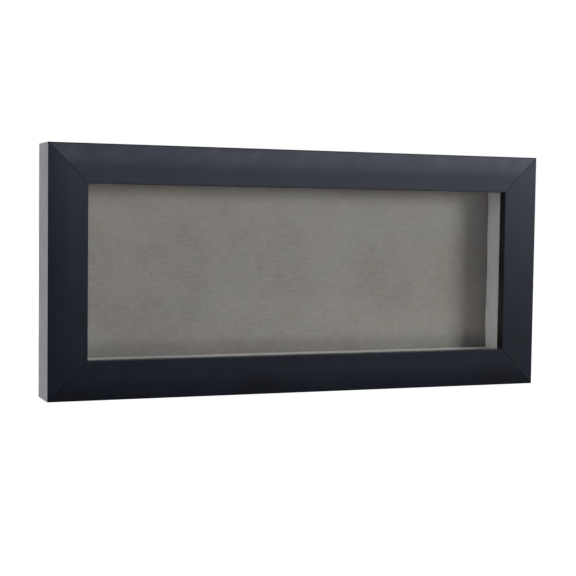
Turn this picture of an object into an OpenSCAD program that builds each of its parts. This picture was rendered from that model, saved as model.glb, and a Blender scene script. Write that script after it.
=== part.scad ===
// Wall-hung shadow box: a deep mitred moulding with a glazed front, suede-covered
// liners and display board, and a back held in by turn buttons. Two D-ring hangers
// swing on the back. Units are millimetres.
// Origin: middle of the bottom face. +X runs along the width, +Y runs from the
// front to the wall and +Z is up.

/* [Case] */
// Width over the moulding
case_w = 528; // [440:1:900]
// Height over the moulding
case_h = 244; // [220:1:500]
// Depth from the front of the face to the back of the moulding
case_depth = 45; // [36:0.5:80]

/* [Moulding] */
// Width of the face that shows from the front
face_w = 38; // [28:0.5:60]
// How far the lip reaches in past the wall of the moulding
rabbet_w = 6.5; // [6:0.1:9]
// Thickness of the lip in front of the glass
lip_t = 10.5; // [5:0.5:16]
// How far the outer edge of the crowned face lies behind its highest line
face_crown = 0.8; // [0.2:0.1:1.6]
// Radius of the outer front edge
front_arris = 0.7; // [0.4:0.1:1.5]
// Radius of the inner front edge
inner_arris = 0.4; // [0.2:0.1:1]
// Radius of the outer back edge
back_arris = 1.4; // [0.5:0.1:3]
// Glue film in each mitre
mitre_gap = 0.1; // [0.05:0.05:0.3]

/* [Glazing] */
// Thickness of the glass
glass_t = 2; // [1.5:0.1:4]
// Gap between the edge of the glass and the wall of the moulding
glass_gap = 0.75; // [0.3:0.05:1.5]

/* [Liners] */
// Thickness of the board inside each liner
liner_board_t = 4; // [2:0.1:4]
// Thickness of the suede
suede_t = 0.8; // [0.4:0.1:1]
// How far the suede returns behind each liner board
liner_hem = 8; // [4:0.5:10]
// Gap round each liner
liner_gap = 0.15; // [0.1:0.05:0.3]

/* [Display board and backing] */
// Thickness of the board that the suede is wrapped on
board_t = 3; // [2:0.1:6]
// How far the suede returns behind the display board
board_hem = 18; // [10:1:30]
// Thickness of the backing panel
backing_t = 2.5; // [2:0.1:5]
// Gap round the display board and the backing panel
back_gap = 0.6; // [0.3:0.1:1.5]

/* [Turn buttons] */
// Width of a turn button
button_w = 11; // [8:0.5:14]
// Distance between the centres of its round ends
button_span = 15.5; // [13:0.5:18]
// Thickness of its sheet
button_t = 1.2; // [0.8:0.1:2]
// Distance from the pivot to the inner edge of the moulding wall
button_inset = 9; // [7:0.5:12]
// Running gap under and over a turn button
button_play = 0.1; // [0.05:0.05:0.2]

/* [Screws] */
// Radius of the shank
shank_r = 1.5; // [1:0.1:2]
// Length of the shank under the head
shank_length = 14; // [8:1:20]
// Radius of the head
head_r = 3.2; // [2.5:0.1:4]
// Height of the head
head_h = 1.9; // [1.2:0.1:2.5]
// Radial gap between a shank and the hole it passes through
shank_play = 0.08; // [0.03:0.01:0.1]

/* [Hangers] */
// Radius of the ring's wire
wire_r = 1; // [0.8:0.1:1.2]
// Half the width of the ring, to the middle of its wire
ring_half_w = 7.5; // [7:0.5:8]
// Straight length of the ring's legs
ring_leg = 5; // [4:0.5:5.5]
// Thickness of the strap
strap_t = 1; // [0.8:0.1:1.5]
// Width of the strap
strap_w = 9; // [7.5:0.5:10]
// Length of the strap below the ring's bar
strap_length = 23; // [22.5:0.5:28]
// Distance from the ring's bar down to the strap screw
strap_hole_drop = 18; // [17.5:0.5:19]
// Radial gap between the ring's bar and the loop of the strap
loop_play = 0.08; // [0.03:0.01:0.1]
// Height of the ring's bar, as a share of the height of the case
hanger_rise = 0.75; // [0.7:0.01:0.8]

/* [Bumpers and corner nails] */
// Radius of a wall bumper
bumper_r = 6; // [4:0.5:8]
// Height of a wall bumper
bumper_h = 4.5; // [4.3:0.1:6]
// Distance from each end of the case to a wall bumper
bumper_inset = 42; // [38:1:60]
// Length of each leg of a corner nail
nail_leg = 5; // [4:0.5:7]
// Thickness of a corner nail
nail_t = 0.5; // [0.3:0.1:0.8]
// How deep a corner nail is driven
nail_depth = 10; // [7:1:15]
// Gap round a corner nail in its slot
nail_gap = 0.05; // [0.02:0.01:0.1]

/* [Hidden] */
$fn = 48;

front_y = -case_depth / 2;
back_y = case_depth / 2;
wall_t = face_w - rabbet_w;
cavity_w = case_w - 2 * wall_t;
cavity_h = case_h - 2 * wall_t;
crown_line = face_w * 0.6;
small = 0.01;

// Depths of the layers, from the front
glass_depth = lip_t;
liner_depth = glass_depth + glass_t;
wrapped_board_t = board_t + 2 * suede_t;
backing_depth = case_depth - backing_t;
board_depth = backing_depth - wrapped_board_t;

// A liner's outer section
liner_t = liner_board_t + 2 * suede_t;
liner_length = board_depth - liner_depth;

// Turn button pivots: [name, x, z, turn from up to inwards]
pivot_u = wall_t - button_inset;
button_places = [
    ["turn_button_top_left", -case_w / 4, case_h - pivot_u, 180],
    ["turn_button_top_right", case_w / 4, case_h - pivot_u, 180],
    ["turn_button_bottom_left", -case_w / 4, pivot_u, 0],
    ["turn_button_bottom_right", case_w / 4, pivot_u, 0],
    ["turn_button_left", -case_w / 2 + pivot_u, case_h / 2, 90],
    ["turn_button_right", case_w / 2 - pivot_u, case_h / 2, -90]
];

// Hanger: the bar of each ring turns in the loop of its strap
hanger_x = case_w / 2 - wall_t / 2;
hanger_z = max(case_h * hanger_rise, case_h / 2 + button_span + button_w / 2 + strap_length + 3);
loop_r = wire_r + loop_play;
bar_y = back_y + strap_t + loop_r;

// Corner nails: how far in from the corner each pair sits
nail_places = [wall_t * 0.3, wall_t * 0.72];

function arc(cx, cy, r, a0, a1, steps) =
    [for (i = [0:steps]) let (a = a0 + (a1 - a0) * i / steps) [cx + r * cos(a), cy + r * sin(a)]];

// Outline of the moulding: [distance in from the outer edge, depth from the front]
function moulding_outline() = concat(
    arc(back_arris, case_depth - back_arris, back_arris, 90, 180, 4),
    arc(front_arris, face_crown + front_arris, front_arris, 180, 270, 4),
    [for (i = [1:9]) let (t = i / 9)
        [front_arris + (crown_line - front_arris) * t, face_crown * pow(1 - t, 2)]],
    arc(face_w - inner_arris, inner_arris, inner_arris, 270, 360, 4),
    [[face_w, lip_t], [wall_t, lip_t], [wall_t, case_depth]]
);

// Extrudes a section of [in from the outer edge, depth] along the bottom of the case
module run(length) {
    translate([0, front_y, 0])
        rotate([0, -90, 0])
            translate([0, 0, -length / 2])
                linear_extrude(length) children();
}

// Turns what is made for the bottom of the case to one of its other sides
module at_top() translate([0, 0, case_h]) rotate([0, 180, 0]) children();
module at_left() translate([-case_w / 2, 0, case_h / 2]) rotate([0, 90, 0]) children();
module at_right() translate([case_w / 2, 0, case_h / 2]) rotate([0, -90, 0]) children();

// ---- Moulding ----

// One length of moulding along the bottom, cut to a mitre at both ends
module mitred_length(length) {
    half = length / 2 - mitre_gap / sqrt(2);
    intersection() {
        run(length) polygon(moulding_outline());
        translate([0, back_y + 1, 0])
            rotate([90, 0, 0])
                linear_extrude(case_depth + 2)
                    polygon([[-half, 0], [half, 0], [half - face_w, face_w], [-half + face_w, face_w]]);
    }
}

// Calls its children at each pivot of a turn button, on the back of the moulding
module at_buttons() {
    for (place = button_places)
        translate([place[1], back_y, place[2]]) children();
}

// Calls its children at each strap screw, on the back of the moulding
module at_strap_screws() {
    for (side = [-1, 1])
        translate([side * hanger_x, back_y, hanger_z - strap_hole_drop]) children();
}

// Two legs of a corner nail, with room round them
module nail_outline(room) {
    for (turn = [-1, 1])
        rotate(turn * 40)
            translate([-nail_t / 2 - room, -room])
                square([nail_t + 2 * room, nail_leg + 2 * room]);
}

// All the corner nails, driven in from the back, or their slots
module nails(room) {
    for (sx = [-1, 1], sz = [-1, 1], u = nail_places)
        translate([sx * (case_w / 2 - u), back_y + small, sz * (case_h / 2 - u) + case_h / 2])
            rotate([90, 0, 0])
                rotate(atan2(sx, -sz))
                    translate([0, 0, small - (room > 0 ? 2 * small : 0)])
                        linear_extrude(nail_depth + room) nail_outline(room);
}

module pilot_holes() {
    at_buttons() screw_hole();
    at_strap_screws() screw_hole();
}

module screw_hole() {
    translate([0, 1, 0])
        rotate([90, 0, 0])
            cylinder(r = shank_r + shank_play, h = shank_length + 2);
}

// A finished rail or stile: the moulding less its pilot holes and nail slots
module moulding_piece() {
    color("#22252d")
        difference() {
            children();
            pilot_holes();
            nails(nail_gap);
        }
}

module top_rail() moulding_piece() at_top() mitred_length(case_w);
module bottom_rail() moulding_piece() mitred_length(case_w);
module left_stile() moulding_piece() at_left() mitred_length(case_h);
module right_stile() moulding_piece() at_right() mitred_length(case_h);

module corner_nails() color("#9a9c9e") nails(0);

// ---- Glazing ----

module glass() {
    color("#dfe8e8", 0.3)
        translate([-cavity_w / 2 + glass_gap, front_y + glass_depth, wall_t + glass_gap])
            cube([cavity_w - 2 * glass_gap, glass_t, cavity_h - 2 * glass_gap]);
}

// ---- Liners ----

liner_u = wall_t + liner_gap;
long_liner = cavity_w - 2 * liner_gap;
short_liner = cavity_h - 4 * liner_gap - 2 * liner_t;

module liner_board_outline() {
    translate([liner_u + suede_t, liner_depth + suede_t])
        square([liner_board_t, liner_length - 2 * suede_t]);
}

// Suede round the face and both edges of a liner, with a hem behind each edge
module liner_suede_outline() {
    difference() {
        translate([liner_u, liner_depth]) square([liner_t, liner_length]);
        liner_board_outline();
        translate([liner_u - 1, liner_depth + liner_hem])
            square([suede_t + 1 + small, liner_length - 2 * liner_hem]);
    }
}

module liner_board(length) color("#8a8478") run(length) liner_board_outline();
module liner_suede(length) color("#85817c") run(length) liner_suede_outline();

module top_liner_board() at_top() liner_board(long_liner);
module bottom_liner_board() liner_board(long_liner);
module left_liner_board() at_left() liner_board(short_liner);
module right_liner_board() at_right() liner_board(short_liner);
module top_liner_suede() at_top() liner_suede(long_liner);
module bottom_liner_suede() liner_suede(long_liner);
module left_liner_suede() at_left() liner_suede(short_liner);
module right_liner_suede() at_right() liner_suede(short_liner);

// ---- Display board and backing ----

// A panel in the cavity, a gap in from its wall, from one depth to another
module cavity_panel(gap, from, to) {
    translate([-cavity_w / 2 + gap, front_y + from, wall_t + gap])
        cube([cavity_w - 2 * gap, to - from, cavity_h - 2 * gap]);
}

module display_board() {
    color("#b9b3a4")
        cavity_panel(back_gap + suede_t, board_depth + suede_t, backing_depth - suede_t);
}

module display_board_suede() {
    color("#7f7b76")
        difference() {
            cavity_panel(back_gap, board_depth, backing_depth);
            cavity_panel(back_gap + suede_t, board_depth + suede_t, backing_depth - suede_t);
            cavity_panel(back_gap + board_hem, backing_depth - 1.5 * suede_t, backing_depth + 1);
        }
}

module backing_panel() color("#5d4632") cavity_panel(back_gap, backing_depth, case_depth);

// ---- Turn buttons ----

// A pan head screw along +Y, with the underside of its head at the origin
module pan_screw() {
    dome = [for (i = [0:6]) [head_r * cos(15 * i), head_h * (0.3 + 0.7 * sin(15 * i))]];
    color("#b4b6b8")
        rotate([-90, 0, 0])
            difference() {
                union() {
                    rotate_extrude() polygon(concat([[0, 0], [head_r, 0]], dome));
                    translate([0, 0, -shank_length + shank_r * 2])
                        cylinder(r = shank_r, h = shank_length - shank_r * 2);
                    translate([0, 0, -shank_length])
                        cylinder(r1 = shank_r * 0.15, r2 = shank_r, h = shank_r * 2);
                }
                for (turn = [0, 90])
                    rotate(turn)
                        translate([-head_r * 0.55, -head_r * 0.13, head_h * 0.45])
                            cube([head_r * 1.1, head_r * 0.26, head_h]);
            }
}

// A flat tab with round ends that covers the edge of the backing panel when it points inwards
module turn_button(place) {
    color("#a9abad")
        translate([place[1], back_y + button_play, place[2]])
            rotate([0, place[3], 0])
                rotate([90, 0, 0])
                    translate([0, 0, -button_t])
                        linear_extrude(button_t)
                            difference() {
                                union() {
                                    circle(d = button_w);
                                    translate([0, button_span]) circle(d = button_w);
                                    translate([-button_w / 2, 0]) square([button_w, button_span]);
                                }
                                circle(r = shank_r + shank_play);
                            }
}

module turn_button_screws() {
    at_buttons() translate([0, 2 * button_play + button_t, 0]) pan_screw();
}

// ---- Hangers ----

// A strap whose top end curls round the bar of its ring
module hanger_strap(side) {
    color("#b4b6b8")
        difference() {
            intersection() {
                translate([side * hanger_x - strap_w / 2, bar_y, hanger_z])
                    rotate([90, 0, 90])
                        linear_extrude(strap_w)
                            difference() {
                                union() {
                                    circle(r = loop_r + strap_t);
                                    translate([-loop_r - strap_t, -strap_length])
                                        square([strap_t, strap_length]);
                                }
                                circle(r = loop_r);
                            }
                translate([side * hanger_x, back_y + 10, hanger_z])
                    rotate([90, 0, 0])
                        linear_extrude(11)
                            union() {
                                translate([0, -strap_length + strap_w / 2]) circle(d = strap_w);
                                translate([-strap_w / 2, -strap_length + strap_w / 2])
                                    square([strap_w, strap_length + 10]);
                            }
            }
            translate([side * hanger_x, back_y - 1, hanger_z - strap_hole_drop])
                rotate([-90, 0, 0])
                    cylinder(r = shank_r + shank_play, h = strap_t + 2);
        }
}

// A D of round wire that hangs from its straight bar
module hanger_ring(side) {
    color("#c2c4c6")
        translate([side * hanger_x, bar_y, hanger_z]) {
            translate([-ring_half_w, 0, 0])
                rotate([0, 90, 0]) cylinder(r = wire_r, h = 2 * ring_half_w);
            for (end = [-1, 1])
                translate([end * ring_half_w, 0, 0]) {
                    sphere(r = wire_r);
                    translate([0, 0, -ring_leg]) cylinder(r = wire_r, h = ring_leg);
                }
            translate([0, 0, -ring_leg])
                rotate([-90, 0, 0])
                    rotate_extrude(angle = 180)
                        translate([ring_half_w, 0]) circle(r = wire_r);
        }
}

module hanger_screws() {
    at_strap_screws() translate([0, strap_t, 0]) pan_screw();
}

// ---- Bumpers ----

module wall_bumpers() {
    color("#d8dadc")
        for (side = [-1, 1])
            translate([side * (case_w / 2 - bumper_inset), back_y, wall_t / 2])
                rotate([-90, 0, 0])
                    rotate_extrude()
                        polygon(concat(
                            [[0, 0], [bumper_r, 0]],
                            arc(bumper_r * 0.6, bumper_h - bumper_r * 0.4, bumper_r * 0.4, 0, 90, 5),
                            [[0, bumper_h]]
                        ));
}

top_rail();
bottom_rail();
left_stile();
right_stile();
corner_nails();
glass();
top_liner_board();
bottom_liner_board();
left_liner_board();
right_liner_board();
top_liner_suede();
bottom_liner_suede();
left_liner_suede();
right_liner_suede();
display_board();
display_board_suede();
backing_panel();
turn_button(button_places[0]);  // turn_button_top_left
turn_button(button_places[1]);  // turn_button_top_right
turn_button(button_places[2]);  // turn_button_bottom_left
turn_button(button_places[3]);  // turn_button_bottom_right
turn_button(button_places[4]);  // turn_button_left
turn_button(button_places[5]);  // turn_button_right
turn_button_screws();
hanger_strap(-1);  // left_hanger_strap
hanger_strap(1);  // right_hanger_strap
hanger_ring(-1);  // left_hanger_ring
hanger_ring(1);  // right_hanger_ring
hanger_screws();
wall_bumpers();
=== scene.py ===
"""A glazed shadow box in satin black lacquer, lined with warm grey suede.

Everything is in metres. The case stands on z = 0, its front faces -Y and its back +Y.
"""

from functools import partial
from math import cos, pi, radians, sin, sqrt

import bmesh
import bpy
from mathutils import Matrix, Vector, noise


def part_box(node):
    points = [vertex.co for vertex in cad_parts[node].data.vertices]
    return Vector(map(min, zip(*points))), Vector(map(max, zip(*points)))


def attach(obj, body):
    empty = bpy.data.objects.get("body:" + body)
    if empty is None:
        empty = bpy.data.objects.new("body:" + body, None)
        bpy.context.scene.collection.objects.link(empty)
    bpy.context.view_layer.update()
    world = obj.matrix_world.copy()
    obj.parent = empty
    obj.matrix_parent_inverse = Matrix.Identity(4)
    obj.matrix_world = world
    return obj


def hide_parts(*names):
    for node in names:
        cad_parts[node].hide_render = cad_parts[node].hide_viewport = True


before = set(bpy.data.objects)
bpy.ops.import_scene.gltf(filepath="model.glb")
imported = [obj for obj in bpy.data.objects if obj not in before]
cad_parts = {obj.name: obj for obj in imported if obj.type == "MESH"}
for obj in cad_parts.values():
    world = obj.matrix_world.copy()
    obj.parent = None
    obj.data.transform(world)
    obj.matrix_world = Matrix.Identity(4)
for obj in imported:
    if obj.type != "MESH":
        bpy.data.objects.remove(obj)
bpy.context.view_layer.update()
MM = 0.001
HAIR = 1e-5  # places nearer than this are the same place


# ---- Sizes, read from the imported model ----

MITRE_GAP = 0.1 * MM
MITRE_TRIM = 0.14 * MM  # what the gap takes off a rail's length
LINER_GAP = 0.15 * MM  # between a liner's hem and the moulding
CLOTH = 0.8 * MM
BOARD_HEM, LINER_HEM = 18 * MM, 8 * MM

rail_low, rail_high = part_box("bottom_rail")
width = rail_high[0] - rail_low[0] + MITRE_TRIM
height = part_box("top_rail")[1][2]
front_y, back_y, face_width = rail_low[1], rail_high[1], rail_high[2]
glass_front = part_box("glass")[0][1]
liner_low, liner_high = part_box("bottom_liner_suede")
wall_thick = liner_low[2] - LINER_GAP
long_liner = liner_high[0] - liner_low[0]
short_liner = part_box("left_liner_suede")[1][2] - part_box("left_liner_suede")[0][2]

# What is made along the bottom of the case is turned about Y and moved to each side
SIDES = {
    "top": ((0, pi, 0), (0, 0, height)),
    "bottom": ((0, 0, 0), (0, 0, 0)),
    "left": ((0, pi / 2, 0), (-width / 2, 0, height / 2)),
    "right": ((0, -pi / 2, 0), (width / 2, 0, height / 2)),
}


# ---- Small helpers ----


def select_only(*pieces):
    bpy.ops.object.select_all(action="DESELECT")
    for piece in pieces:
        piece.select_set(True)
    bpy.context.view_layer.objects.active = pieces[0]


def settle(piece):
    """Moves a piece's place, turn and size into its mesh."""
    select_only(piece)
    bpy.ops.object.transform_apply(location=True, rotation=True, scale=True)


def start(name, add, size, at, turn=(0, 0, 0)):
    """Adds a primitive of unit size, named, sized and placed."""
    bpy.ops.object.select_all(action="DESELECT")
    add()
    piece = bpy.context.object
    piece.name = piece.data.name = name
    piece.scale, piece.rotation_euler, piece.location = size, turn, at
    settle(piece)
    return piece


def pick(piece, kind, test):
    """In edit mode, selects the verts, edges or faces whose every corner passes."""
    bpy.ops.mesh.select_mode(type=kind)
    bpy.ops.mesh.select_all(action="DESELECT")
    mesh = bmesh.from_edit_mesh(piece.data)
    if kind == "VERT":
        for vert in mesh.verts:
            vert.select_set(bool(test(vert.co)))
    else:
        for part in mesh.edges if kind == "EDGE" else mesh.faces:
            part.select_set(all(test(vert.co) for vert in part.verts))
    mesh.select_flush_mode()
    bmesh.update_edit_mesh(piece.data)


def near(a, b, tolerance=HAIR):
    return abs(a - b) < tolerance


def edit(piece):
    select_only(piece)
    bpy.ops.object.mode_set(mode="EDIT")
    bpy.ops.mesh.select_all(action="SELECT")


def leave():
    bpy.ops.object.mode_set(mode="OBJECT")


def push(x=0, y=0, z=0):
    bpy.ops.mesh.extrude_region_move(TRANSFORM_OT_translate={"value": (x, y, z)})


def modify(piece, kind, **settings):
    """Adds a modifier and applies it."""
    select_only(piece)
    modifier = piece.modifiers.new(kind.lower(), kind)
    for key, value in settings.items():
        setattr(modifier, key, value)
    bpy.ops.object.modifier_apply(modifier=modifier.name)


def smooth(piece, degrees=28, weighted=True):
    select_only(piece)
    bpy.ops.object.shade_smooth_by_angle(angle=radians(degrees))
    if weighted:
        modify(piece, "WEIGHTED_NORMAL", keep_sharp=True, weight=80)


def outwards(piece):
    """Turns an open wrap's faces away from its middle."""
    edit(piece)
    bpy.ops.mesh.normals_make_consistent(inside=False)
    leave()


def copy_of(node, name):
    """A copy of a CAD node with its loose triangles joined up."""
    select_only(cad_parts[node])
    bpy.ops.object.duplicate(linked=False)
    piece = bpy.context.object
    piece.name = piece.data.name = name
    edit(piece)
    bpy.ops.mesh.remove_doubles(threshold=1e-6)
    leave()
    return piece


def finish_piece(piece, body, slot, material, *nodes):
    """Puts a piece on its body, hides the nodes that it stands for and gives it its material, if
    one is given. The slot is not used.
    """
    if material:
        piece.data.materials.clear()
        piece.data.materials.append(material)
    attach(piece, body)
    if nodes:
        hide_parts(*nodes)


# ---- Materials ----


def linear(code):
    """sRGB hex to linear RGBA."""
    parts = [int(code[i : i + 2], 16) / 255 for i in (1, 3, 5)]
    return [p / 12.92 if p <= 0.04045 else ((p + 0.055) / 1.055) ** 2.4 for p in parts] + [1]


def add_node(tree, kind, *values, **named):
    """Adds a node with its settings and links.

    A name in small letters is a setting. Anything else is a socket, by its order or its name,
    and takes a value or another node's output. The node's first output in use comes back.
    """
    made = tree.nodes.new(kind)
    for key in filter(str.islower, named):
        setattr(made, key, named[key])
    sockets = [socket for socket in made.inputs if socket.enabled]
    pairs = list(zip(sockets, values))
    for key in named:
        if not key.islower():
            pairs.append((next(s for s in sockets if s.name == key.replace("_", " ")), named[key]))
    for socket, value in pairs:
        if isinstance(value, bpy.types.NodeSocket):
            tree.links.new(value, socket)
        else:
            socket.default_value = value
    return next((socket for socket in made.outputs if socket.enabled), None)


def new_material(name):
    """An empty material, the way to add nodes to it, and the place of each point on a piece."""
    material = bpy.data.materials.new(name)
    material.use_nodes = True
    material.node_tree.nodes.clear()
    add = partial(add_node, material.node_tree)
    return material, add, add("ShaderNodeTexCoord").node.outputs["Object"]


def per_mm(size_mm):
    """The noise scale whose blotches are about this many millimetres across."""
    return 1000 / size_mm


# Settings that several nodes share
SOFT = {"interpolation_type": "SMOOTHSTEP", "From_Min": 0.3, "From_Max": 0.7}
COLOUR = {"data_type": "RGBA"}


def satin_black_lacquer():
    """Nitrocellulose lacquer, sprayed black over sealed wood and rubbed to satin."""
    material, add, place = new_material("satin_black_lacquer")
    # A trace of blue in the black, a little uneven where the wood took up the sealer
    cloud = add("ShaderNodeTexNoise", Vector=place, Scale=per_mm(45), Detail=3)
    tone = add(
        "ShaderNodeMix", add("ShaderNodeMapRange", cloud, **SOFT),
        A=linear("#080a0f"), B=linear("#0b0e14"), **COLOUR,
    )
    # Rubbing leaves the gloss a little uneven
    rubbed = add("ShaderNodeTexNoise", Vector=place, Scale=per_mm(18), Detail=3, Roughness=0.6)
    gloss = add("ShaderNodeMapRange", rubbed, To_Min=0.2, To_Max=0.25, **SOFT)
    # Orange peel of the spray, and dust under the last coat
    peel = add("ShaderNodeTexNoise", Vector=place, Scale=per_mm(2.2), Detail=1)
    dust = add("ShaderNodeTexNoise", Vector=place, Scale=per_mm(0.7))
    skin = add("ShaderNodeBump", Height=peel, Distance=0.004 * MM)
    skin = add("ShaderNodeBump", Height=dust, Distance=0.001 * MM, Normal=skin)
    shader = add(
        "ShaderNodeBsdfPrincipled", Base_Color=tone, Roughness=gloss, IOR=1.5, Normal=skin
    )
    add("ShaderNodeOutputMaterial", Surface=shader)
    return material


def suede(name, dark, light, lean):
    """Warm grey synthetic suede: a brushed nap that lies in soft patches."""
    material, add, place = new_material(name)
    patches = add(
        "ShaderNodeTexNoise", Scale=per_mm(70), Detail=4, Roughness=0.55, Distortion=0.6,
        Vector=add("ShaderNodeMapping", Vector=place, Location=(0.05, 0, 0.31)),
    )
    strokes = add(
        "ShaderNodeTexNoise", Scale=per_mm(16), Detail=5, Roughness=0.65, Distortion=0.8,
        Vector=add("ShaderNodeMapping", Vector=place, Scale=(1, 1, 0.55)),
    )
    leaning = add(
        "ShaderNodeTexNoise", Scale=per_mm(80), Detail=6, Roughness=0.62, Distortion=0.5,
        Vector=add("ShaderNodeMapping", Vector=place, Scale=(1, 1, 1.3)),
    )
    # The real fibres are about 0.1 mm; these are drawn at 0.8 mm so that they show
    fibres = add("ShaderNodeTexNoise", Vector=place, Scale=per_mm(0.8), Detail=3, Roughness=0.7)
    # The backing's threads just read through the nap, a little broken. The real ones are about
    # 0.5 mm apart; these are drawn at 2.6 mm so that they show
    threads = [
        add(
            "ShaderNodeTexNoise", Scale=per_mm(2.6), Detail=3, Roughness=0.6,
            Vector=add("ShaderNodeMapping", Vector=place, Scale=run),
        )
        for run in ((0.25, 1, 1), (1, 1, 0.25))
    ]
    tone = add(
        "ShaderNodeMix", add("ShaderNodeMapRange", patches, **{**SOFT, "From_Min": 0.32}),
        A=linear(dark), B=linear(light), **COLOUR,
    )
    # Each layer: what it follows, how far it reaches, and the colour that it brings
    for pattern, low, high, reach, code in (
        # The nap leans green-grey in some places and brown-grey in others
        (leaning, 0.38, 0.62, 0.48, lean),
        (strokes, 0.3, 0.7, 0.22, light),
        (threads[0], 0.3, 0.7, 0.1, "#b5b0a8"),
        (threads[1], 0.3, 0.7, 0.12, "#504a44"),
        (fibres, 0.25, 0.75, 0.19, "#565049"),
    ):
        share = add(
            "ShaderNodeMapRange", pattern, interpolation_type="SMOOTHSTEP",
            From_Min=low, From_Max=high, To_Max=reach,
        )
        tone = add("ShaderNodeMix", share, A=tone, B=linear(code), **COLOUR)
    # A few dark flecks of lint, about 18 mm from one to the next
    lint = add("ShaderNodeTexVoronoi", Vector=place, Scale=55)
    share = add("ShaderNodeMapRange", lint, From_Min=0.03, From_Max=0.05, To_Min=0.45, To_Max=0)
    tone = add("ShaderNodeMix", share, A=tone, B=linear("#3c3a38"), **COLOUR)
    nap = None
    for pattern, deep in ((patches, 0.4), (strokes, 0.12), (fibres, 0.03)):
        under = {"Normal": nap} if nap else {}
        nap = add("ShaderNodeBump", Height=pattern, Distance=deep * MM, **under)
    shader = add(
        "ShaderNodeBsdfPrincipled", Base_Color=tone, Roughness=0.92, Sheen_Weight=0.25,
        Sheen_Roughness=0.6, Sheen_Tint=linear("#cfccc6"), Specular_IOR_Level=0.2, Normal=nap,
    )
    add("ShaderNodeOutputMaterial", Surface=shader)
    return material


def picture_glass():
    """Clear float glass, coated so that it hardly mirrors."""
    material, add, _ = new_material("coated_float_glass")
    # The coat cuts each face's mirror to about half a percent, which this IOR gives
    shader = add(
        "ShaderNodeBsdfPrincipled", Base_Color=linear("#fdfefe"), Roughness=0, IOR=1.14,
        Transmission_Weight=1,
    )
    add("ShaderNodeOutputMaterial", Surface=shader)
    return material


def plated_steel(name, code, roughness):
    """Zinc-plated steel, tumbled, with faint clouding and fine scratches in the plate."""
    material, add, place = new_material(name)
    cloud = add("ShaderNodeTexNoise", Vector=place, Scale=per_mm(3.5), Detail=4, Roughness=0.6)
    tone = add(
        "ShaderNodeMix", add("ShaderNodeMapRange", cloud, **SOFT),
        A=linear(code), B=linear("#b6b8ba"), **COLOUR,
    )
    tumbled = add("ShaderNodeTexNoise", Vector=place, Scale=per_mm(1.5), Detail=3)
    gloss = add(
        "ShaderNodeMapRange", tumbled, To_Min=roughness - 0.06, To_Max=roughness + 0.08, **SOFT
    )
    scratches = add(
        "ShaderNodeTexNoise", Scale=per_mm(0.5),
        Vector=add("ShaderNodeMapping", Vector=place, Rotation=(0, 0.6, 0), Scale=(1, 1, 0.12)),
    )
    skin = add("ShaderNodeBump", Height=scratches, Distance=0.012 * MM)
    shader = add(
        "ShaderNodeBsdfPrincipled", Base_Color=tone, Metallic=1, Roughness=gloss, Normal=skin
    )
    add("ShaderNodeOutputMaterial", Surface=shader)
    return material


def pressed_hardboard():
    """Brown wet-process hardboard, its smooth side out, flecked with fibre."""
    material, add, place = new_material("pressed_hardboard")
    cloud = add("ShaderNodeTexNoise", Vector=place, Scale=per_mm(60), Detail=4, Roughness=0.6)
    chips = add(
        "ShaderNodeTexNoise", Vector=place, Scale=per_mm(1.6), Detail=4, Roughness=0.75,
        Distortion=1.2,
    )
    tone = add(
        "ShaderNodeMix", add("ShaderNodeMapRange", cloud, **SOFT),
        A=linear("#6b4a30"), B=linear("#7d5a3c"), **COLOUR,
    )
    share = add(
        "ShaderNodeMapRange", chips, interpolation_type="SMOOTHSTEP",
        From_Min=0.42, From_Max=0.62, To_Max=0.6,
    )
    tone = add("ShaderNodeMix", share, A=tone, B=linear("#4a3020"), **COLOUR)
    gloss = add("ShaderNodeMapRange", chips, To_Min=0.42, To_Max=0.62, **SOFT)
    skin = add("ShaderNodeBump", Height=chips, Distance=0.03 * MM)
    skin = add("ShaderNodeBump", Height=cloud, Distance=0.1 * MM, Normal=skin)
    shader = add("ShaderNodeBsdfPrincipled", Base_Color=tone, Roughness=gloss, Normal=skin)
    add("ShaderNodeOutputMaterial", Surface=shader)
    return material


def mount_board():
    """Grey-cored mount board, its paper fibres just raised."""
    material, add, place = new_material("grey_mount_board")
    pulp = add("ShaderNodeTexNoise", Vector=place, Scale=per_mm(0.8), Detail=4, Roughness=0.7)
    tone = add(
        "ShaderNodeMix", add("ShaderNodeMapRange", pulp, **SOFT),
        A=linear("#a9a59c"), B=linear("#b8b4ab"), **COLOUR,
    )
    shader = add(
        "ShaderNodeBsdfPrincipled", Base_Color=tone, Roughness=0.9,
        Normal=add("ShaderNodeBump", Height=pulp, Distance=0.02 * MM),
    )
    add("ShaderNodeOutputMaterial", Surface=shader)
    return material


def milky_polyurethane():
    """Cast clear polyurethane, gone slightly milky."""
    material, add, place = new_material("milky_polyurethane")
    haze = add("ShaderNodeTexNoise", Vector=place, Scale=per_mm(4), Detail=3)
    tone = add(
        "ShaderNodeMix", add("ShaderNodeMapRange", haze, **SOFT),
        A=linear("#c3c5c2"), B=linear("#d3d5d2"), **COLOUR,
    )
    dimples = add("ShaderNodeTexNoise", Vector=place, Scale=per_mm(1.2))
    shader = add(
        "ShaderNodeBsdfPrincipled", Base_Color=tone, Roughness=0.28, IOR=1.5,
        Subsurface_Weight=0.4, Subsurface_Scale=0.002,
        Normal=add("ShaderNodeBump", Height=dimples, Distance=0.01 * MM),
    )
    add("ShaderNodeOutputMaterial", Surface=shader)
    return material


def dark_filler():
    """Dried glue and filler in the mitres, dull and nearly black."""
    material, add, place = new_material("dark_filler")
    grit = add("ShaderNodeTexNoise", Vector=place, Scale=per_mm(3))
    shader = add(
        "ShaderNodeBsdfPrincipled", Roughness=0.95, Specular_IOR_Level=0.1,
        Base_Color=add(
            "ShaderNodeMix", grit, A=linear("#0c0d10"), B=linear("#121317"), **COLOUR
        ),
    )
    add("ShaderNodeOutputMaterial", Surface=shader)
    return material


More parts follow.
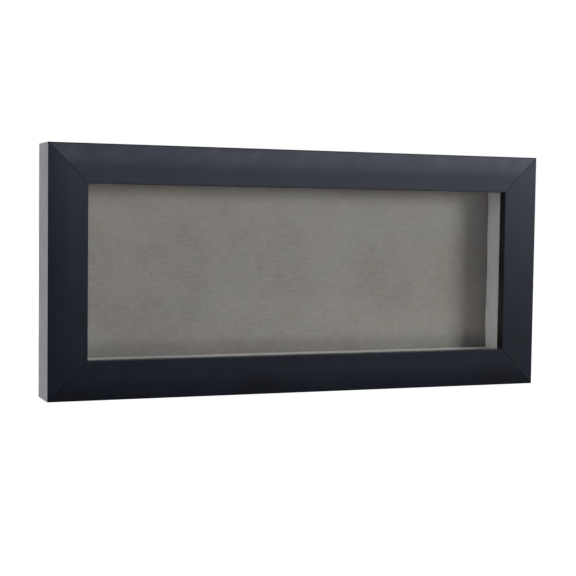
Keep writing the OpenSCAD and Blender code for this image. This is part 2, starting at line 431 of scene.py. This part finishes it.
lacquer = satin_black_lacquer()
filler = dark_filler()
board_suede = suede("board_suede", "#6f6b64", "#7c766f", "#71776f")
# The liners' suede is drawn about three times lighter than the board's. This is painted light that
# brightens the side walls, which get little lamp light. Its more neutral grey is the cloth's own.
liner_suede = suede("liner_suede", "#b6b6b4", "#bfbebb", "#acaeaa")
glass = picture_glass()
zinc = plated_steel("dull_zinc_plate", "#8f9193", 0.36)
bright_zinc = plated_steel("bright_zinc_plate", "#a3a5a7", 0.27)
hardboard = pressed_hardboard()
board = mount_board()
rubber = milky_polyurethane()


# ---- Moulding ----

CROWN = 0.8 * MM  # how far the face falls away towards its outer edge
CROWN_LINE = 0.6 * face_width  # how far in from that edge the fall starts
CROWN_CUTS = 15
SPARE = 5 * MM  # left on each end for the mitre saw
GROOVE = 0.18 * MM
GROOVE_ZONE = 1.5 * MM  # behind the front face and before the back one
FILLER_WIDE, FILLER_DEEP = 0.42 * MM, 1.9 * MM  # either side of the joint, and into it


def moulding(name, node, length, turn, at):
    """One length of crowned and rebated moulding, mitred at both ends."""
    half = length / 2
    reach = half - MITRE_GAP / sqrt(2)
    piece = start(
        name, bpy.ops.mesh.primitive_plane_add, (wall_thick / 2, (back_y - front_y) / 2, 1),
        (-half - SPARE, (front_y + back_y) / 2, wall_thick / 2), (0, pi / 2, 0),
    )
    piece.data.materials.append(lacquer)
    piece.data.materials.append(filler)
    edit(piece)
    # The lip in front of the rebate
    bpy.ops.mesh.bisect(plane_co=(0, glass_front, 0), plane_no=(0, 1, 0))
    pick(piece, "EDGE", lambda p: near(p.z, wall_thick) and p.y < glass_front + HAIR)
    push(z=face_width - wall_thick)
    # The crown of the face
    pick(piece, "EDGE", lambda p: near(p.y, front_y) and p.z < wall_thick + HAIR)
    bpy.ops.mesh.subdivide(number_cuts=CROWN_CUTS)
    mesh = bmesh.from_edit_mesh(piece.data)
    for vert in mesh.verts:
        if near(vert.co.y, front_y) and vert.co.z < CROWN_LINE:
            vert.co.y += CROWN * (1 - vert.co.z / CROWN_LINE) ** 2
    bmesh.update_edit_mesh(piece.data)
    # Eased edges
    for corner, radius, steps in (
        ((front_y + CROWN, 0), 0.7 * MM, 5),
        ((front_y, face_width), 0.4 * MM, 4),
        ((back_y, 0), 1.4 * MM, 5),
    ):
        pick(piece, "VERT", lambda p: near(p.y, corner[0]) and near(p.z, corner[1]))
        bpy.ops.mesh.bevel(offset=radius, segments=steps, affect="VERTICES")
    bpy.ops.mesh.select_all(action="SELECT")
    push(x=length + 2 * SPARE)
    # The mitres
    for end in (-1, 1):
        bpy.ops.mesh.select_all(action="SELECT")
        bpy.ops.mesh.bisect(
            plane_co=(end * reach, 0, 0), plane_no=(end, 0, 1), use_fill=True, clear_outer=True
        )
    bpy.ops.mesh.select_all(action="SELECT")
    bpy.ops.mesh.normals_make_consistent(inside=False)
    # A fine dark groove where two ends meet
    pick(
        piece, "EDGE",
        lambda p: near(abs(p.x) + p.z, reach)
        and (p.y < front_y + GROOVE_ZONE or p.y > back_y - GROOVE_ZONE),
    )
    bpy.ops.mesh.bevel(offset=GROOVE, segments=1, affect="EDGES")
    piece.active_material_index = 1
    for end in (-1, 1):
        pick(
            piece, "FACE",
            lambda p: near(end * p.x + p.z, reach, FILLER_WIDE) and p.y < front_y + FILLER_DEEP,
        )
        bpy.ops.object.material_slot_assign()
    leave()
    piece.rotation_euler, piece.location = turn, at
    settle(piece)
    # Meant to cut a slot for each nail. In most runs it joins the nails' hidden halves on instead
    # and leaves the faces pointing inwards, and which it does changes from run to run
    modify(piece, "BOOLEAN", operation="DIFFERENCE", object=nails, solver="EXACT")
    smooth(piece)
    finish_piece(piece, "case", "black_lacquer", None, node)


nails = copy_of("corner_nails", "steel_v_nails")
moulding("top_moulding", "top_rail", width, *SIDES["top"])
moulding("bottom_moulding", "bottom_rail", width, *SIDES["bottom"])
moulding("left_moulding", "left_stile", height, *SIDES["left"])
moulding("right_moulding", "right_stile", height, *SIDES["right"])


# ---- Suede ----

BOARD_CELL = 4 * MM
LINER_CELL = (3 * MM, 2.4 * MM)  # along the liner, and across it
# How tightly the cloth turns over each edge
BOARD_TURN, LINER_TURN, SOFT_TURN = 0.7 * MM, 0.8 * MM, 1.7 * MM
SLACK_RUN = 6 * MM  # from the glass to where the slack is at its full
SLACK_WAVE = 26 * MM  # from one slack place to the next


def wrapped_board(name, node):
    """Suede pulled over the display board and glued down behind it."""
    low, high = map(Vector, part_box(node))
    size = high - low
    centre = (low + high) / 2
    piece = start(
        name,
        lambda: bpy.ops.mesh.primitive_grid_add(
            x_subdivisions=round(size.x / BOARD_CELL), y_subdivisions=round(size.z / BOARD_CELL),
            size=1,
        ),
        (size.x, size.z, 1), (centre.x, low.y, centre.z), (pi / 2, 0, 0),
    )
    edit(piece)

    def rim(p, y):
        side = near(abs(p.x - centre.x), size.x / 2) or near(abs(p.z - centre.z), size.z / 2)
        return side and near(p.y, y)

    # Over the edges, and behind as a hem
    pick(piece, "EDGE", lambda p: rim(p, low.y))
    push(y=size.y)
    push()
    bpy.ops.transform.resize(
        value=(1 - 2 * BOARD_HEM / size.x, 1, 1 - 2 * BOARD_HEM / size.z), center_override=centre
    )
    leave()
    outwards(piece)
    edit(piece)
    for y in (low.y, high.y):
        pick(piece, "EDGE", lambda p: rim(p, y))
        bpy.ops.mesh.bevel(offset=BOARD_TURN, segments=3, affect="EDGES")
    leave()
    modify(piece, "SOLIDIFY", thickness=CLOTH, offset=-1, use_even_offset=True)
    smooth(piece, 40, False)
    finish_piece(piece, "case", "grey_suede", board_suede, node)


def wrapped_liner(name, node, length, turn, at, slack_mm):
    """Suede round one liner: its show face, its two edges and a hem behind each."""
    (low_y, low_z), (high_y, high_z) = liner_low[1:], liner_high[1:]
    columns, rows = round(length / LINER_CELL[0]), round((high_y - low_y) / LINER_CELL[1])
    piece = start(
        name,
        lambda: bpy.ops.mesh.primitive_grid_add(
            x_subdivisions=columns, y_subdivisions=rows, size=1
        ),
        (length, high_y - low_y, 1), (0, (low_y + high_y) / 2, high_z),
    )
    edit(piece)
    for y in (low_y, high_y):
        pick(piece, "EDGE", lambda p: near(p.y, y) and near(p.z, high_z))
        push(z=low_z - high_z)
        push(y=LINER_HEM if y == low_y else -LINER_HEM)
    bpy.ops.mesh.select_all(action="SELECT")
    bpy.ops.mesh.normals_make_consistent(inside=False)
    # The cloth turns softly over the board, and most softly where it meets the display board
    for y, z, radius in (
        (low_y, low_z, LINER_TURN), (low_y, high_z, LINER_TURN),
        (high_y, low_z, LINER_TURN), (high_y, high_z, SOFT_TURN),
    ):
        pick(piece, "EDGE", lambda p: near(p.y, y) and near(p.z, z))
        bpy.ops.mesh.bevel(offset=radius, segments=4, affect="EDGES")
    # The cloth isn't quite tight, so its show face wanders by up to a millimetre, and by less
    # near the glass
    for vert in bmesh.from_edit_mesh(piece.data).verts:
        loose = min(max((vert.co.y - low_y) / SLACK_RUN, 0), 1) * (vert.co.z > low_z + 2 * CLOTH)
        wave = noise.noise(Vector((vert.co.x, 0.4 * vert.co.y, at[0] + at[2])) / SLACK_WAVE)
        vert.co.z += loose * max(0.0, 0.4 + 1.3 * wave) * slack_mm * MM
    bmesh.update_edit_mesh(piece.data)
    leave()
    modify(piece, "SOLIDIFY", thickness=CLOTH, offset=-1, use_even_offset=True)
    piece.rotation_euler, piece.location = turn, at
    settle(piece)
    smooth(piece, 40, False)
    finish_piece(piece, "case", "grey_suede", liner_suede, node)


wrapped_board("display_board_cloth", "display_board_suede")
for side, length, slack_mm in (
    ("top", long_liner, 0.3), ("bottom", long_liner, 0.15),
    ("left", short_liner, 0.9), ("right", short_liner, 1.3),
):
    wrapped_liner(side + "_liner_cloth", side + "_liner_suede", length, *SIDES[side], slack_mm)


# ---- Boards, glass and hardware that keep their CAD shape ----


def dress(node, material):
    """Gives a CAD node that keeps its own mesh its material."""
    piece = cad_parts[node]
    piece.data.materials.clear()
    piece.data.materials.append(material)


for side in SIDES:
    dress(side + "_liner_board", board)
dress("display_board", board)
dress("backing_panel", hardboard)
dress("glass", glass)
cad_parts["glass"].visible_shadow = False
finish_piece(nails, "case", "zinc_steel", zinc, "corner_nails")


def eased(name, node, body, slot, material, edge_mm, angle=30):
    """A node's own shape with its sharp edges eased."""
    piece = copy_of(node, name)
    edit(piece)
    # Triangles that lie flat together become one face, so that only true edges are eased
    bpy.ops.mesh.dissolve_limited(angle_limit=radians(1))
    leave()
    if edge_mm:
        modify(
            piece, "BEVEL", width=edge_mm * MM, segments=2, limit_method="ANGLE",
            angle_limit=radians(40), use_clamp_overlap=True,
        )
    smooth(piece, angle)
    finish_piece(piece, body, slot, material, node)


for node in list(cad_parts):
    if node.startswith("turn_button_") and node != "turn_button_screws":
        eased(node + "_plate", node, node, "button_steel", zinc, 0.2)
for side in ("left", "right"):
    strap, ring = side + "_hanger_strap", side + "_hanger_ring"
    eased(side + "_strap_plate", strap, "case", "zinc_steel", bright_zinc, 0.15)
    eased(side + "_d_ring", ring, ring, "zinc_steel", bright_zinc, 0, 60)
eased("turn_button_pan_screws", "turn_button_screws", "case", "screw_steel", bright_zinc, 0, 35)
eased("hanger_pan_screws", "hanger_screws", "case", "screw_steel", bright_zinc, 0, 35)
eased("wall_bumper_domes", "wall_bumpers", "case", "clear_rubber", rubber, 0, 50)


# ---- Studio ----


def studio_floor():
    """A pale sweep of paper under the case."""
    bpy.ops.object.select_all(action="DESELECT")
    bpy.ops.mesh.primitive_circle_add(vertices=96, radius=12, fill_type="NGON")
    floor = bpy.context.object
    floor.name = "floor"
    material, add, _ = new_material("pale_paper")
    shader = add(
        "ShaderNodeBsdfPrincipled", Base_Color=linear("#f2f2f0"), Roughness=0.9,
        Specular_IOR_Level=0.1, Emission_Color=linear("#ffffff"), Emission_Strength=0.78,
    )
    add("ShaderNodeOutputMaterial", Surface=shader)
    floor.data.materials.append(material)
    # The paper is bright to look at, and lights nothing itself
    floor.visible_glossy = floor.visible_diffuse = floor.visible_transmission = False
    floor.visible_shadow = False


def studio_world():
    """Soft surroundings: white paper behind, a grey room in front that is lighter above."""
    world = bpy.data.worlds.new("studio")
    bpy.context.scene.world = world
    world.use_nodes = True
    world.node_tree.nodes.clear()
    add = partial(add_node, world.node_tree)
    way = add("ShaderNodeTexCoord")
    axes = add("ShaderNodeSeparateXYZ", way).node.outputs
    # A large pale window to the right of the camera, fading out at its edges
    around, above = radians(42), radians(17)
    toward = (sin(around) * cos(above), -cos(around) * cos(above), sin(above))
    rim, middle = cos(radians(42)), cos(radians(10))
    facing = add("ShaderNodeVectorMath", way, toward, operation="DOT_PRODUCT")
    window = add("ShaderNodeMapRange", facing, rim, middle, 0.93, 3.7)
    rise = add("ShaderNodeMapRange", axes["Z"], -0.03, 0.16, 0.15, 1.13)
    # It is dimmer near the ground, and the room above it is dim too
    sink = add("ShaderNodeMapRange", axes["Z"], -0.2, -0.1, 0.35, 1)
    roof = add("ShaderNodeMapRange", axes["Z"], 0.17, 0.25, 1, 0.08)
    front = window
    for share in (rise, sink, roof):
        front = add("ShaderNodeMath", front, share, operation="MULTIPLY")
    slope = add("ShaderNodeMath", axes["Z"], operation="ABSOLUTE")
    paper = add("ShaderNodeMapRange", slope, 0.15, 0.8, 0.9, 0.35)
    behind = add(
        "ShaderNodeMapRange", axes["Y"], -0.1, 0.3, 0, 1, interpolation_type="SMOOTHSTEP"
    )
    level = add("ShaderNodeMix", behind, front, paper)
    # Where the world itself is in view, it is plain white like the paper
    seen = add("ShaderNodeLightPath")
    shown = add("ShaderNodeMix", seen, level, 1)
    # The sky in the window is bluer towards its edges, and the paper is a little blue
    sunward = add("ShaderNodeMapRange", facing, rim, middle, 0, 1)
    sky = add("ShaderNodeMix", sunward, linear("#d6dbff"), linear("#e0e7f9"), **COLOUR)
    tint = add("ShaderNodeMix", behind, sky, linear("#f4f5ff"), **COLOUR)
    tint = add("ShaderNodeMix", seen, tint, (1, 1, 1, 1), **COLOUR)
    ground = add("ShaderNodeBackground", tint, shown)
    add("ShaderNodeOutputWorld", ground)


def soft_box(name, at, aim, size, watts, colour="#ffffff"):
    """A rectangular lamp that isn't mirrored in the lacquer or seen through the glass."""
    bpy.ops.object.light_add(type="AREA", location=at)
    light = bpy.context.object
    light.name = name
    light.data.shape = "RECTANGLE"
    light.data.size, light.data.size_y = size
    light.data.energy = watts
    light.data.color = linear(colour)[:3]
    light.rotation_euler = (Vector(aim) - Vector(at)).to_track_quat("-Z", "Y").to_euler()
    light.visible_glossy = light.visible_transmission = False


studio_floor()
studio_world()
CASE_MIDDLE = (0, 0, 0.12)
soft_box("key_soft_box", (2.8, -2.8, 0.8), CASE_MIDDLE, (1.3, 1.1), 126, "#fffdfa")
# What the white paper in front throws up under the top of the box
soft_box("paper_bounce", (0.6, -2.8, -0.9), CASE_MIDDLE, (4.2, 0.9), 58, "#fffcf8")
# This one rakes the outer side of the left moulding
soft_box("side_soft_box", (-1.6, -0.34, 0.3), (0.2, 0, 0.12), (0.2, 0.6), 11)


# ---- Camera ----

camera_data = bpy.data.cameras.new("camera")
camera = bpy.data.objects.new("camera", camera_data)
bpy.context.scene.collection.objects.link(camera)
camera_data.sensor_width = 36
camera_data.lens = 82.36
# It stands to the left of the case and a little above its middle
STAND = (-0.5125, -1.2458, 0.1774)
AROUND, ABOVE, TILT = radians(-21.823), radians(3.1045), radians(0.7633)
camera.matrix_world = (
    Matrix.Translation(STAND)
    @ Matrix.Rotation(AROUND, 4, "Z")
    @ Matrix.Rotation(pi / 2 - ABOVE, 4, "X")
    @ Matrix.Rotation(TILT, 4, "Z")
)
bpy.context.scene.camera = camera
bpy.context.scene.view_settings.view_transform = "Standard"
